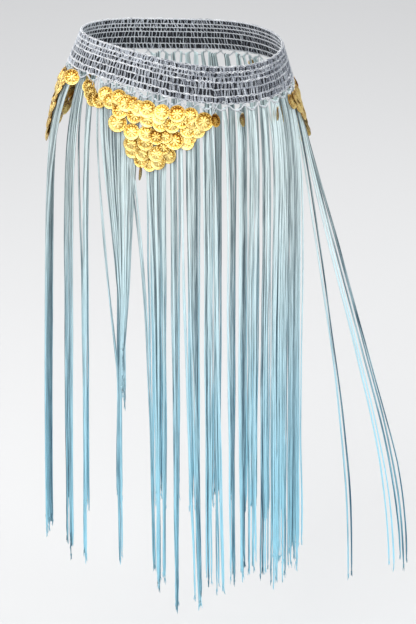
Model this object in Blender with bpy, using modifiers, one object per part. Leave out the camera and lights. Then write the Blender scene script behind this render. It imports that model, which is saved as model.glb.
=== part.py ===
"""A crocheted hip scarf for belly dance, kept in its worn form: a stretchy band in the round, a
scalloped chain edge under it, three triangular aprons of overlapping coins and a long cord fringe.

Metres, +Z up, the wearer faces -Y, and +X is the wearer's left. The origin is the centre of the
band's hollow, where a waist holds it. Angles run round the figure from the front centre towards
the wearer's left, in degrees in the tables and in radians in the functions.
"""
from collections import namedtuple
from math import atan2, cos, degrees, exp, hypot, pi, radians, sin

import bmesh
import bpy
import numpy as np

MM = 0.001
NAME = "hip_scarf"

# The band, a cone of rounded oval section that fits a general figure's hips.
TOP_HALF_WIDTH = 0.150
LOW_HALF_WIDTH = 0.168
DEPTH_SHARE = 0.75
SQUARENESS = 2.2
BAND_HEIGHT = 0.0514
BAND_WALL = 0.003
BAND_GRID = (80, 3)          # faces round the band and up it
ROLL = radians(3.8)          # the wearer's right hip is the higher one
DIP = radians(2.0)           # the front hangs lower than the back
TOP_SAG = 0.006              # how far the band droops between the two hips
LOW_SAG = 0.008
SAG_ANGLE = radians(45)

# The scalloped edge and the coins that hang from it.
SCALLOPS = 42
SCALLOP_DROP = 0.009
CHAIN_RADIUS = 0.001
POINTS_PER_SCALLOP = 4
COIN_RADIUS = 0.010
COIN_SIDES = 16
SINGLE_COIN = 0.0016         # a single coin's thickness over its relief
COIN_PLATE = 0.0026          # an apron's, where two coins overlap
APRON_GRID = (44, 6)
APRON_END = 0.97             # how much of the last coin's radius the apron reaches out to
SEAM_GAP = 0.0003
WELD = 0.00001               # vertices this close are one
RIM_GAP = 0.0008             # a sloping panel's top rim rises a little at its outer side
APRON_GAP = 0.0010           # clear of the fringe's flat strips where the figure curves

# The fringe.
FRINGE_WALL = 0.005
FRINGE_REACH = 0.760
MID_DROP = 0.300
DEGREES_PER_STRIP = 5
FRINGE_ROWS = 9
TOP_SAMPLES = 9              # places where a bunch's top is kept clear of the chain's arcs
ROW_CROWDING = 1.6           # the rows of a panel lie closer near its top, where it bends most
HIP_DROP = 0.067             # the drop over which the hip pushes the cords out
FLARE_POWER = 1.5

# How far the hip and the swung skirt push the fringe out at each angle round the figure.
FigureRow = namedtuple("FigureRow", "angle_deg hip_mm flare_mm")
FIGURE = (
    FigureRow(-180, 20, 0),
    FigureRow(-140, 24, 0),
    FigureRow(-100, 34, 12),
    FigureRow(-75, 34, 10),
    FigureRow(-55, 26, 4),
    FigureRow(-35, 16, 0),
    FigureRow(-15, 12, 0),
    FigureRow(20, 12, 0),
    FigureRow(55, 14, 0),
    FigureRow(75, 20, 0),
    FigureRow(87, 22, 4),
    FigureRow(93, 18, 90),
    FigureRow(102, 15, 165),
    FigureRow(107, 14, 178),
    FigureRow(112, 16, 120),
    FigureRow(118, 20, 8),
    FigureRow(140, 20, 0),
    FigureRow(180, 20, 0),
)

# One row for each bunch of cords: where its sides are at the edge, at MID_DROP and at its end.
Bunch = namedtuple("Bunch", "top_from top_to mid_from mid_to low_from low_to reach_mm")
BUNCHES = {
    "fringe_side_right": Bunch(-90, -60, -90, -72, -90, -74, 760),
    "fringe_right_a": Bunch(-54.8, -47.7, -54.5, -48.9, -54.6, -50.0, 760),
    "fringe_right_b": Bunch(-43.3, -40.0, -42.8, -40.1, -44.2, -41.8, 760),
    "fringe_fan": Bunch(-38.9, -6.9, -27.5, -15.4, -22.5, -19.9, 750),
    "fringe_front_a": Bunch(-6.3, 5.8, -4.8, 6.1, 1.5, 5.5, 770),
    "fringe_front_b": Bunch(6.9, 10.9, 7.8, 10.3, 6.2, 9.5, 760),
    "fringe_front_c": Bunch(12.2, 17.2, 13.1, 17.3, 14.8, 17.6, 800),
    "fringe_front_d": Bunch(18.3, 29.2, 20.3, 28.8, 26.2, 31.1, 780),
    "fringe_front_e": Bunch(31.5, 36.0, 31.5, 36.4, 32.9, 36.5, 740),
    "fringe_front_f": Bunch(36.8, 38.7, 36.9, 40.0, 38.4, 43.5, 755),
    "fringe_front_g": Bunch(44.1, 48.9, 43.9, 47.5, 45.5, 49.1, 745),
    "fringe_left_a": Bunch(50.7, 55.3, 49.5, 53.9, 51.0, 54.4, 730),
    "fringe_left_b": Bunch(56.3, 61.5, 54.6, 59.4, 55.2, 59.8, 725),
    "fringe_left_c": Bunch(62.8, 67.7, 61.4, 65.4, 61.4, 66.3, 745),
    "fringe_left_d": Bunch(69.2, 79.5, 66.2, 76.8, 67.0, 77.0, 765),
    "fringe_left_e": Bunch(80.1, 91.0, 77.4, 88.2, 77.6, 87.7, 755),
    "fringe_flared_a": Bunch(91.8, 95.0, 91.6, 93.6, 91.6, 93.2, 775),
    "fringe_flared_b": Bunch(96.5, 108.0, 97.3, 101.8, 98.8, 103.4, 760),
    "fringe_back_a": Bunch(119, 129, 119, 128.5, 119, 128, 760),
    "fringe_back_b": Bunch(130.5, 138.5, 130.5, 138, 130.5, 137.5, 760),
    "fringe_back_c": Bunch(140.5, 146, 140, 146, 140, 146, 760),
    "fringe_back_d": Bunch(148, 153.5, 148, 153.5, 148.5, 153.5, 760),
    "fringe_back_e": Bunch(155.5, 160.5, 155.5, 160.5, 155.5, 160.5, 760),
    "fringe_back_f": Bunch(163, 168, 163.5, 167.5, 163.5, 167.5, 760),
    "fringe_back_g": Bunch(171.5, 183.5, 172.5, 183, 173, 182.5, 760),
    "fringe_back_h": Bunch(186, 195, 186.5, 194.5, 187, 194, 760),
    "fringe_back_i": Bunch(197.5, 204, 198.5, 203, 199, 203, 760),
    "fringe_back_j": Bunch(206, 218, 206, 217, 206.5, 216, 760),
    "fringe_back_k": Bunch(223.5, 240.5, 229, 235, 230.5, 234, 760),
    "fringe_back_l": Bunch(245.5, 249, 245.5, 248.5, 245.5, 248.5, 760),
    "fringe_back_m": Bunch(252, 258.5, 254, 258, 254, 258, 760),
}

# One row for each row of coins in an apron: distances along the edge from the apron's middle.
CoinRow = namedtuple("CoinRow", "below_band_mm first_mm last_mm coins")
COIN_ROWS = (
    CoinRow(21, -92, 74, 10),
    CoinRow(40, -50, 68, 8),
    CoinRow(57, -27, 52, 6),
    CoinRow(74, -27, 46, 5),
    CoinRow(89, -29, 28, 4),
    CoinRow(104, -12, 12, 3),
)
# Each apron's middle, and whether its longer top corner points the other way.
Apron = namedtuple("Apron", "middle_deg mirrored")
APRONS = {
    "coins_front": Apron(0, False),
    "coins_side_right": Apron(-91, True),
    "coins_side_left": Apron(121, False),
}
SINGLE_COINS = {"coin_a": 38, "coin_b": 52.5, "coin_c": 72}   # each one's angle in degrees

BAND_COLOUR = (0.36, 0.43, 0.52)
EDGE_COLOUR = (0.62, 0.66, 0.72)
FRINGE_COLOUR = (0.47, 0.66, 0.72)
GOLD_COLOUR = (0.95, 0.66, 0.22)


def section_radius(angle, half_width):
    """The rounded oval section's radius at an angle round the figure."""
    across = abs(sin(angle)) ** SQUARENESS
    deep = (abs(cos(angle)) / DEPTH_SHARE) ** SQUARENESS
    return half_width * (across + deep) ** (-1 / SQUARENESS)


def tilted(x, y, z):
    """A point of the level band, once the band is dipped at the front and rolled to the left."""
    y, z = y * cos(DIP) - z * sin(DIP), y * sin(DIP) + z * cos(DIP)
    x, z = x * cos(ROLL) + z * sin(ROLL), -x * sin(ROLL) + z * cos(ROLL)
    return x, y, z


def band_point(angle, up, out=0.0):
    """A point on the band's wall, up from its middle line and out from the wall's middle."""
    share = up / BAND_HEIGHT + 0.5
    half_width = LOW_HALF_WIDTH + (TOP_HALF_WIDTH - LOW_HALF_WIDTH) * share
    sag = (LOW_SAG + (TOP_SAG - LOW_SAG) * share) * cos(2 * (angle - SAG_ANGLE))
    radius = section_radius(angle, half_width) + out
    return tilted(radius * sin(angle), -radius * cos(angle), up - sag)


def edge_lengths(steps=720):
    """The angles and the running length along the band's lower edge, from the front centre."""
    angles = np.linspace(-pi, pi, steps + 1)
    points = np.array([band_point(a, -BAND_HEIGHT / 2) for a in angles])
    runs = np.concatenate([[0], np.cumsum(np.linalg.norm(np.diff(points, axis=0), axis=1))])
    return angles, runs - runs[steps // 2]


EDGE_ANGLES, EDGE_RUNS = edge_lengths()
EDGE_LENGTH = float(EDGE_RUNS[-1] - EDGE_RUNS[0])


def angle_at(run):
    """The angle at a distance along the band's lower edge, which may pass the back seam."""
    turns, rest = divmod(run - EDGE_RUNS[0], EDGE_LENGTH)
    return float(np.interp(rest + EDGE_RUNS[0], EDGE_RUNS, EDGE_ANGLES)) + turns * 2 * pi


def run_at(angle):
    """The distance along the band's lower edge to an angle, inside half a turn either way."""
    return float(np.interp((angle + pi) % (2 * pi) - pi, EDGE_ANGLES, EDGE_RUNS))


def figure_push(angle):
    """How far the hip and the skirt's flare push out at an angle."""
    at = (degrees(angle) + 180) % 360 - 180
    angles, hips, flares = zip(*FIGURE)
    return float(np.interp(at, angles, hips)) * MM, float(np.interp(at, angles, flares)) * MM


def hang_point(start, angle, below_band, out=0.0):
    """A point of the hung fringe: it starts at one angle and is now at another, this far down."""
    drop = max(below_band - SCALLOP_DROP, 0.0)
    hip, flare = figure_push(angle)
    edge = band_point(angle, -BAND_HEIGHT / 2)
    share = min(drop / FRINGE_REACH, 1.0)
    push = hip * (1 - exp(-drop / HIP_DROP)) + flare * sin(pi / 2 * share) ** FLARE_POWER
    radius = hypot(edge[0], edge[1]) + push + out
    bearing = atan2(edge[0], -edge[1])
    level = band_point(start, -BAND_HEIGHT / 2 - SCALLOP_DROP)[2]
    return radius * sin(bearing), -radius * cos(bearing), level + SCALLOP_DROP - below_band


def bunch_angle(top, mid, low, drop, reach):
    """The angle of a cord that is taut from its top to MID_DROP and from there to its end."""
    above = (mid - top) / MID_DROP
    below = (low - mid) / (reach - MID_DROP)
    turn = (above + below) / 2
    if drop < MID_DROP:
        start, end, first, last, length = top, mid, above, turn, MID_DROP
        t = drop / MID_DROP
    else:
        start, end, first, last, length = mid, low, turn, below, reach - MID_DROP
        t = (drop - MID_DROP) / length
    straight = start + (end - start) * t
    slope = (end - start) / length
    bow = (first - slope) * t * (1 - t) ** 2 - (last - slope) * t**2 * (1 - t)
    return straight + bow * length


def collection(name):
    made = bpy.data.collections.new(name)
    bpy.context.scene.collection.children.link(made)
    return made


def material(name, colour, roughness, metallic=0.0):
    made = bpy.data.materials.new(name)
    made.use_nodes = True
    shader = made.node_tree.nodes["Principled BSDF"]
    shader.inputs["Base Color"].default_value = (*colour, 1)
    shader.inputs["Roughness"].default_value = roughness
    shader.inputs["Metallic"].default_value = metallic
    return made


def add_object(name, data, surface, parts):
    made = bpy.data.objects.new(name, data)
    data.materials.append(surface)
    parts.objects.link(made)
    return made


def cloth(name, place, across, down, wall, surface, parts, ring=False):
    """A grid bent to place(u, v), with u and v from 0 to 1, and given its wall by Solidify."""
    mesh = bpy.data.meshes.new(name)
    grid = bmesh.new()
    bmesh.ops.create_grid(grid, x_segments=across, y_segments=down, size=0.5)
    for vertex in grid.verts:
        vertex.co = place(vertex.co.x + 0.5, vertex.co.y + 0.5)
    if ring:
        bmesh.ops.remove_doubles(grid, verts=grid.verts, dist=WELD)
    grid.to_mesh(mesh)
    grid.free()
    mesh.shade_smooth()
    made = add_object(name, mesh, surface, parts)
    skin = made.modifiers.new("wall", "SOLIDIFY")
    skin.thickness = wall
    skin.offset = 0
    skin.use_even_offset = True
    return made


def make_band(parts):
    surface = material("band", BAND_COLOUR, 0.9)

    def place(u, v):
        return band_point(2 * pi * u, BAND_HEIGHT * (v - 0.5))

    cloth("band", place, *BAND_GRID, BAND_WALL, surface, parts, ring=True)


def chain_drop(run):
    """How far the chain's arcs hang below the band, at a distance along its lower edge."""
    knot = CHAIN_RADIUS + SEAM_GAP
    across = run / EDGE_LENGTH * SCALLOPS % 1.0
    return knot + (SCALLOP_DROP - knot) * (1 - (2 * across - 1) ** 2)


def make_scallop_edge(parts):
    count = SCALLOPS * POINTS_PER_SCALLOP
    curve = bpy.data.curves.new("scallop_edge", "CURVE")
    curve.dimensions = "3D"
    curve.bevel_depth = CHAIN_RADIUS
    curve.bevel_resolution = 1
    line = curve.splines.new("POLY")
    line.points.add(count - 1)
    for i, point in enumerate(line.points):
        run = EDGE_LENGTH * i / count
        point.co = (*band_point(angle_at(run), -BAND_HEIGHT / 2 - chain_drop(run)), 1)
    line.use_cyclic_u = True
    add_object("scallop_edge", curve, material("scallop_edge", EDGE_COLOUR, 0.9), parts)


def make_bunch(name, bunch, surface, parts):
    reach = bunch.reach_mm * MM
    sides = (
        (bunch.top_from, bunch.top_to),
        (bunch.mid_from, bunch.mid_to),
        (bunch.low_from, bunch.low_to),
    )
    tops = np.radians(np.linspace(*sides[0], TOP_SAMPLES))
    start = max(chain_drop(run_at(top)) for top in tops) + CHAIN_RADIUS + RIM_GAP

    def place(u, v):
        drop = (1 - v) ** ROW_CROWDING * reach
        top, mid, low = (radians(near + (far - near) * u) for near, far in sides)
        return hang_point(top, bunch_angle(top, mid, low, drop, reach), start + drop)

    widest = max(far - near for near, far in sides)
    across = 1 + round(widest / DEGREES_PER_STRIP)
    cloth(name, place, across, FRINGE_ROWS, FRINGE_WALL, surface, parts)


def coin_places(mirrored):
    """Each coin's centre as (run from the apron's middle, distance below the band)."""
    side = -1 if mirrored else 1
    for row in COIN_ROWS:
        for i in range(row.coins):
            run = row.first_mm + (row.last_mm - row.first_mm) * i / (row.coins - 1)
            yield side * run * MM, row.below_band_mm * MM


def make_apron(name, middle, mirrored, surface, parts):
    """A plate of the outline that the overlapping coins make together."""
    coins = list(coin_places(mirrored))
    left = min(run for run, _ in coins) - APRON_END * COIN_RADIUS
    right = max(run for run, _ in coins) + APRON_END * COIN_RADIUS
    start = run_at(radians(middle))
    out = FRINGE_WALL / 2 + APRON_GAP + COIN_PLATE / 2

    def reach_at(run):
        """The highest and lowest that the coins reach on one plumb line."""
        near = [
            (below, (COIN_RADIUS**2 - (run - at) ** 2) ** 0.5)
            for at, below in coins
            if abs(run - at) < COIN_RADIUS
        ]
        return min(b - h for b, h in near), max(b + h for b, h in near)

    def place(u, v):
        run = left + (right - left) * u
        high, low = reach_at(run)
        angle = angle_at(start + run)
        return hang_point(angle, angle, low + (high - low) * v, out)

    cloth(name, place, *APRON_GRID, COIN_PLATE, surface, parts)


def make_single_coin(name, angle_deg, surface, parts):
    """One coin hung from the chain edge, edge on to the front."""
    angle = radians(angle_deg)
    out = FRINGE_WALL / 2 + SEAM_GAP + COIN_RADIUS
    below = SCALLOP_DROP + CHAIN_RADIUS + COIN_RADIUS
    bpy.ops.mesh.primitive_cylinder_add(
        vertices=COIN_SIDES, radius=COIN_RADIUS, depth=SINGLE_COIN,
        location=hang_point(angle, angle, below, out), rotation=(0, pi / 2, angle),
    )
    coin = bpy.context.object
    coin.name = name
    coin.data.name = name
    coin.data.materials.append(surface)
    coin.users_collection[0].objects.unlink(coin)
    parts.objects.link(coin)


def main():
    for old in list(bpy.data.objects):
        bpy.data.objects.remove(old)
    parts = collection(NAME)
    make_band(parts)
    make_scallop_edge(parts)
    cords = material("fringe", FRINGE_COLOUR, 0.75)
    for name, bunch in BUNCHES.items():
        make_bunch(name, bunch, cords, parts)
    gold = material("coins", GOLD_COLOUR, 0.3, 1.0)
    for name, apron in APRONS.items():
        make_apron(name, apron.middle_deg, apron.mirrored, gold, parts)
    for name, angle_deg in SINGLE_COINS.items():
        make_single_coin(name, angle_deg, gold, parts)


main()
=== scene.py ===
"""How the hip scarf looks: its crocheted band, chain edge, coins and cord fringe.

Metres and the CAD frame throughout: +Z up, the wearer faces -Y, +X is the wearer's left, and
angles run round the figure from the front centre towards the wearer's left.
"""

from collections import namedtuple
from math import cos, pi, radians, sin

import bpy
import numpy as np
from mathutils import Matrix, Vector


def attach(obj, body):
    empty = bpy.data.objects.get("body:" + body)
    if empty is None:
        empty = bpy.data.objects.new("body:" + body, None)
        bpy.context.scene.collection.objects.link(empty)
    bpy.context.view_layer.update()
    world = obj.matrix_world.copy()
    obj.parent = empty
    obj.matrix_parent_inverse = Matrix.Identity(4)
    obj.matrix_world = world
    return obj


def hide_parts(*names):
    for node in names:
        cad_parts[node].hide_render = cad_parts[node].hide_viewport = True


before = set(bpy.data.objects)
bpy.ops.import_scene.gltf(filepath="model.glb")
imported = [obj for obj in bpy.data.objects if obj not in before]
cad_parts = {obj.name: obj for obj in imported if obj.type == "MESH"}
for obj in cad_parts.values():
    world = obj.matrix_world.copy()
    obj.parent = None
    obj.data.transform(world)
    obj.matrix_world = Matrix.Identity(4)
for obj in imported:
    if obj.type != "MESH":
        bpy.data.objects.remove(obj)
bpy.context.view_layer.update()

MM = 0.001
STEP = 0.01  # the change of angle that directions are measured over
rng = np.random.default_rng(1804)

# ---- The form of the scarf, as in the CAD ----

TOP_HALF_WIDTH = 0.150
LOW_HALF_WIDTH = 0.168
DEPTH_SHARE = 0.75
SQUARENESS = 2.2
BAND_HEIGHT = 0.0514
ROLL = radians(3.8)
DIP = radians(2.0)
TOP_SAG = 0.006
LOW_SAG = 0.008
SAG_ANGLE = radians(45)
SCALLOPS = 42
SCALLOP_DROP = 0.009
CHAIN_RADIUS = 0.001
COIN_RADIUS = 0.010
FRINGE_WALL = 0.005
FRINGE_REACH = 0.760
MID_DROP = 0.300
HIP_DROP = 0.067
FLARE_POWER = 1.5
APRON_OUT = 0.0048  # from the middle of the fringe's wall to the middle of an apron

# How far in mm the hip and the swung skirt push the fringe out, at angles round the figure in
# degrees: (angle, by the hip, by the skirt).
FIGURE = (
    (-180, 20, 0), (-140, 24, 0), (-100, 34, 12), (-75, 34, 10), (-55, 26, 4),
    (-35, 16, 0), (-15, 12, 0), (20, 12, 0), (55, 14, 0), (75, 20, 0),
    (87, 22, 4), (93, 18, 90), (102, 15, 165), (107, 14, 178), (112, 16, 120),
    (118, 20, 8), (140, 20, 0), (180, 20, 0),
)


def section_radius(angle, half_width):
    """The radius of the figure's rounded oval section at an angle."""
    across = np.abs(np.sin(angle)) ** SQUARENESS
    deep = (np.abs(np.cos(angle)) / DEPTH_SHARE) ** SQUARENESS
    return half_width * (across + deep) ** (-1 / SQUARENESS)


def band_point(angle, up, out=0.0):
    """Points on the band's wall, up from its middle line and out from the wall's middle."""
    share = up / BAND_HEIGHT + 0.5
    half_width = LOW_HALF_WIDTH + (TOP_HALF_WIDTH - LOW_HALF_WIDTH) * share
    sag = (LOW_SAG + (TOP_SAG - LOW_SAG) * share) * np.cos(2 * (angle - SAG_ANGLE))
    radius = section_radius(angle, half_width) + out
    x, y, z = radius * np.sin(angle), -radius * np.cos(angle), up - sag
    y, z = y * cos(DIP) - z * sin(DIP), y * sin(DIP) + z * cos(DIP)
    x, z = x * cos(ROLL) + z * sin(ROLL), -x * sin(ROLL) + z * cos(ROLL)
    return np.stack([x, y, z], axis=-1)


def edge_point(angle, below=0.0, out=0.0):
    """Points of the band's wall carried on below its lower edge."""
    return band_point(angle, -BAND_HEIGHT / 2 - below, out)


EDGE_ANGLES = np.linspace(-pi, pi, 721)
EDGE_STEPS = np.linalg.norm(np.diff(edge_point(EDGE_ANGLES), axis=0), axis=1)
EDGE_RUNS = np.concatenate([[0], np.cumsum(EDGE_STEPS)])
EDGE_RUNS = EDGE_RUNS - EDGE_RUNS[len(EDGE_RUNS) // 2]
EDGE_LENGTH = float(EDGE_RUNS[-1] - EDGE_RUNS[0])


def angle_at(run):
    """The angle at a distance along the band's lower edge, which may pass the back seam."""
    turns, rest = np.divmod(run - EDGE_RUNS[0], EDGE_LENGTH)
    return np.interp(rest + EDGE_RUNS[0], EDGE_RUNS, EDGE_ANGLES) + turns * 2 * pi


def run_at(angle):
    """The distance along the band's lower edge to an angle, inside half a turn either way."""
    return np.interp((angle + pi) % (2 * pi) - pi, EDGE_ANGLES, EDGE_RUNS)


# Each arc of the chain hangs a little lopsided, and not quite as deep as the next.
ARC_SKEW = rng.uniform(0.72, 1.30, SCALLOPS)
ARC_DEPTH = rng.uniform(0.84, 1.04, SCALLOPS)
ARC_POWER = 1.6  # 2 is a round arc and 1 a V
GATHER = 0.7  # how far cords spread along an arc, for a spread of 1 below it
KNOT_DROP = CHAIN_RADIUS + 0.3 * MM  # how far the chain's joints hang below the band


def arc_at(run):
    """The arc at a distance along the band's lower edge, and how far across it that is."""
    place = run / EDGE_LENGTH * SCALLOPS
    arc = np.floor(place).astype(int)
    return arc, place - arc


def chain_drop(run):
    """How far the chain hangs below the band, at a distance along the edge."""
    arc, across = arc_at(run)
    bent = across ** ARC_SKEW[arc % SCALLOPS]
    depth = SCALLOP_DROP * ARC_DEPTH[arc % SCALLOPS] - KNOT_DROP
    return KNOT_DROP + depth * (1 - np.abs(2 * bent - 1) ** ARC_POWER)


def gathered(run):
    """Where a cord at this distance along the edge is tied, nearer its arc's middle."""
    arc, across = arc_at(run)
    lowest = 0.5 ** (1 / ARC_SKEW[arc % SCALLOPS])
    return (arc + lowest + (across - lowest) * GATHER) * EDGE_LENGTH / SCALLOPS


def hang_point(start, angle, below_band, out=0.0):
    """Points of the hung fringe: they start at one angle and are now at another, this far down."""
    drop = np.maximum(below_band - SCALLOP_DROP, 0.0)
    at = (np.degrees(angle) + 180) % 360 - 180
    angles, hips, flares = np.array(FIGURE, float).T
    hip, flare = np.interp(at, angles, hips) * MM, np.interp(at, angles, flares) * MM
    edge = edge_point(angle)
    share = np.minimum(drop / FRINGE_REACH, 1.0)
    push = hip * (1 - np.exp(-drop / HIP_DROP)) + flare * np.sin(pi / 2 * share) ** FLARE_POWER
    radius = np.hypot(edge[..., 0], edge[..., 1]) + push + out
    bearing = np.arctan2(edge[..., 0], -edge[..., 1])
    level = edge_point(start, SCALLOP_DROP)[..., 2]
    depth = level + SCALLOP_DROP - below_band
    return np.stack([radius * np.sin(bearing), -radius * np.cos(bearing), depth], axis=-1)


def side_scale(angle, below):
    """How far a hung cord moves sideways, in metres for each radian that its angle changes."""
    apart = hang_point(angle, angle + STEP, below) - hang_point(angle, angle - STEP, below)
    return np.linalg.norm(apart, axis=-1) / (2 * STEP)


def bunch_angle(top, mid, low, drop, reach):
    """The angle of a cord that is taut from its top to MID_DROP and from there to its end."""
    above = (mid - top) / MID_DROP
    below = (low - mid) / (reach - MID_DROP)
    turn = (above + below) / 2
    upper = drop < MID_DROP
    start, end = np.where(upper, top, mid), np.where(upper, mid, low)
    first, last = np.where(upper, above, turn), np.where(upper, turn, below)
    length = np.where(upper, MID_DROP, reach - MID_DROP)
    t = np.where(upper, drop, drop - MID_DROP) / length
    slope = (end - start) / length
    bow = (first - slope) * t * (1 - t) ** 2 - (last - slope) * t**2 * (1 - t)
    return start + (end - start) * t + bow * length


# ---- Meshes made of many small shapes ----


def show(name, data):
    """Adds an object to the scene."""
    made = bpy.data.objects.new(name, data)
    bpy.context.scene.collection.objects.link(made)
    return made


class Soup:
    """Gathers many small shapes into one mesh, with a UV map "yarn" and a point value "tone"."""

    def __init__(self):
        self.points, self.faces, self.uvs, self.tones = [], [], [], []
        self.count = 0

    def add(self, points, faces, uvs, tones):
        """Adds points (n, 3), faces (m, corners), their uvs (m, corners, 2) and tones (n)."""
        self.points.append(points)
        self.faces.append(faces + self.count)
        self.uvs.append(uvs)
        self.tones.append(np.broadcast_to(tones, len(points)))
        self.count += len(points)

    def make(self, name, material, slot):
        """Makes the object, which rides on the part's one body."""
        sizes = np.concatenate([np.full(len(f), f.shape[1]) for f in self.faces])
        corners = np.concatenate([f.ravel() for f in self.faces])
        mesh = bpy.data.meshes.new(name)
        mesh.vertices.add(self.count)
        mesh.vertices.foreach_set("co", np.concatenate(self.points).ravel())
        mesh.loops.add(len(corners))
        mesh.loops.foreach_set("vertex_index", corners.astype(np.int32))
        mesh.polygons.add(len(sizes))
        starts = np.cumsum(sizes) - sizes
        mesh.polygons.foreach_set("loop_start", starts.astype(np.int32))
        mesh.update(calc_edges=True)
        yarn = mesh.uv_layers.new(name="yarn")
        yarn.data.foreach_set("uv", np.concatenate([u.ravel() for u in self.uvs]))
        tone = mesh.attributes.new("tone", "FLOAT", "POINT")
        tone.data.foreach_set("value", np.concatenate(self.tones).astype(np.float32))
        mesh.validate()
        mesh.shade_smooth()
        mesh.materials.append(material)
        made = show(name, mesh)
        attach(made, "root")
        return made


def unit(vectors):
    """The same directions, each 1 long."""
    return vectors / np.linalg.norm(vectors, axis=-1, keepdims=True)


FLIPPED = [0, 3, 2, 1]  # a face's corners the other way round


def grid_quads(rows, columns):
    """The faces between a row of points and the next, each row a closed ring of columns points."""
    row, column = np.meshgrid(np.arange(rows), np.arange(columns), indexing="ij")
    here, beside = row * columns + column, row * columns + (column + 1) % columns
    return np.stack([here, here + columns, beside + columns, beside], axis=-1).reshape(-1, 4)


def tube_points(paths, radius, sides, outward, flat, turn, ring):
    """The rings of points round each of paths."""
    if ring:
        along = unit(np.roll(paths, -1, axis=1) - np.roll(paths, 1, axis=1))
    else:
        along = unit(np.gradient(paths, axis=1))
    outward = np.broadcast_to(outward, paths.shape)
    outward = unit(outward - along * np.sum(along * outward, axis=-1, keepdims=True))
    side = np.cross(along, outward)
    turn = np.broadcast_to(turn, paths.shape[:2])[..., None]
    radius = np.broadcast_to(radius, paths.shape[:2])[..., None]
    theta = 2 * pi * np.arange(sides) / sides
    near, far = radius * flat * np.cos(theta), radius * np.sin(theta)
    up = near * np.cos(turn) - far * np.sin(turn)
    across = near * np.sin(turn) + far * np.cos(turn)
    outward, side = outward[:, :, None], side[:, :, None]
    return paths[:, :, None] + up[..., None] * outward + across[..., None] * side


def add_tubes(
    soup, paths, radius, sides, outward, flat=1.0, turn=0.0, tone=0.5, ring=False, starts_at=0.0
):
    """Adds a tube round each of paths (tubes, points, 3).

    radius and turn broadcast to (tubes, points), and outward to paths. flat is the section's
    depth for a width of 1, turn the angle that it is turned by, and ring joins each tube's ends.
    starts_at is where along its yarn each tube starts.
    """
    tubes, count = paths.shape[:2]
    points = tube_points(paths, radius, sides, outward, flat, turn, ring)
    spans = count if ring else count - 1
    faces = grid_quads(spans, sides)[:, FLIPPED] % (count * sides)
    faces = faces + np.arange(tubes)[:, None, None] * count * sides
    steps = np.linalg.norm(np.diff(paths, axis=1, append=paths[:, :1]), axis=-1)
    reach = np.concatenate([np.zeros((tubes, 1)), np.cumsum(steps, axis=1)], axis=1)
    reach = reach + np.reshape(starts_at, (-1, 1))
    p, s = np.meshgrid(np.arange(spans), np.arange(sides), indexing="ij")
    v = reach[:, np.stack([p, p, p + 1, p + 1], axis=-1)]
    u = np.broadcast_to(np.stack([s, s + 1, s + 1, s], axis=-1) / sides, v.shape)
    uvs = np.stack([u, v], axis=-1).reshape(-1, 4, 2)
    tones = np.broadcast_to(np.reshape(tone, (-1, 1)), (tubes, count * sides)).ravel()
    soup.add(points.reshape(-1, 3), faces.reshape(-1, 4), uvs, tones)
    if not ring:
        first = (np.arange(tubes) * count * sides)[:, None] + np.arange(sides)
        ends = np.concatenate([first[:, ::-1], first + (count - 1) * sides]) - tubes * count * sides
        tips = np.zeros((len(ends), sides, 2))
        tips[tubes:, :, 1] = reach[:, count - 1, None]
        soup.add(np.zeros((0, 3)), ends, tips, 0.0)


# ---- Materials ----


class Finish:
    """A material with one Principled shader, and short ways to add and link its nodes."""

    def __init__(self, name, **inputs):
        self.material = bpy.data.materials.new(name)
        self.material.use_nodes = True
        self.tree = self.material.node_tree
        self.shader = self.tree.nodes["Principled BSDF"]
        self.shade(**inputs)

    def put(self, node, inputs):
        """Sets a node's inputs, each to a value or linked to another node's output."""
        for name, value in inputs.items():
            socket = node.inputs[int(name[1:]) if name[0] == "_" else name.replace("_", " ")]
            if isinstance(value, bpy.types.NodeSocket):
                self.tree.links.new(value, socket)
            else:
                socket.default_value = value

    def shade(self, **inputs):
        """Sets inputs of the shader."""
        self.put(self.shader, inputs)

    def add(self, kind, settings=None, **inputs):
        """Adds a node with its settings and inputs."""
        made = self.tree.nodes.new("ShaderNode" + kind)
        for name, value in (settings or {}).items():
            setattr(made, name, value)
        self.put(made, inputs)
        return made

    def math(self, operation, a, b=0.0, c=0.0):
        return self.add("Math", {"operation": operation}, _0=a, _1=b, _2=c).outputs[0]

    def total(self, a, a_share, b, b_share):
        """The sum of two values, each times its share."""
        a, b = self.math("MULTIPLY", a, a_share), self.math("MULTIPLY", b, b_share)
        return self.math("ADD", a, b)

    def noise(self, vector, scale, detail=3.0):
        return self.add("TexNoise", Vector=vector, Scale=scale, Detail=detail).outputs["Fac"]

    def ramp(self, value, positions, colours):
        """Maps a value to colours, each at its position."""
        made = self.add("ValToRGB", Fac=value)
        elements = made.color_ramp.elements
        while len(elements) < len(colours):
            elements.new(0.5)
        for element, position, colour in zip(elements, positions, colours):
            element.position = position
            element.color = (*colour, 1)
        return made.outputs["Color"]

    def blend(self, share, a, b):
        """The colour a share of the way from a to b."""
        return self.add("Mix", {"data_type": "RGBA"}, Factor=share, A=a, B=b).outputs["Result"]

    def ranged(self, value, settings=None, **inputs):
        """Maps a value from one range to another."""
        return self.add("MapRange", settings, Value=value, **inputs).outputs["Result"]

    def bump(self, height, distance, strength=1.0):
        made = self.add("Bump", Height=height, Distance=distance, Strength=strength)
        self.shade(Normal=made.outputs["Normal"])

    def place(self):
        return self.add("TexCoord").outputs["Object"]

    def yarn(self):
        """The yarn's own coordinates: once round it, and metres along it."""
        split = self.add("SeparateXYZ", Vector=self.add("UVMap", {"uv_map": "yarn"}).outputs[0])
        return split.outputs["X"], split.outputs["Y"]

    def tone(self):
        return self.add("Attribute", {"attribute_name": "tone"}).outputs["Fac"]


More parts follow.
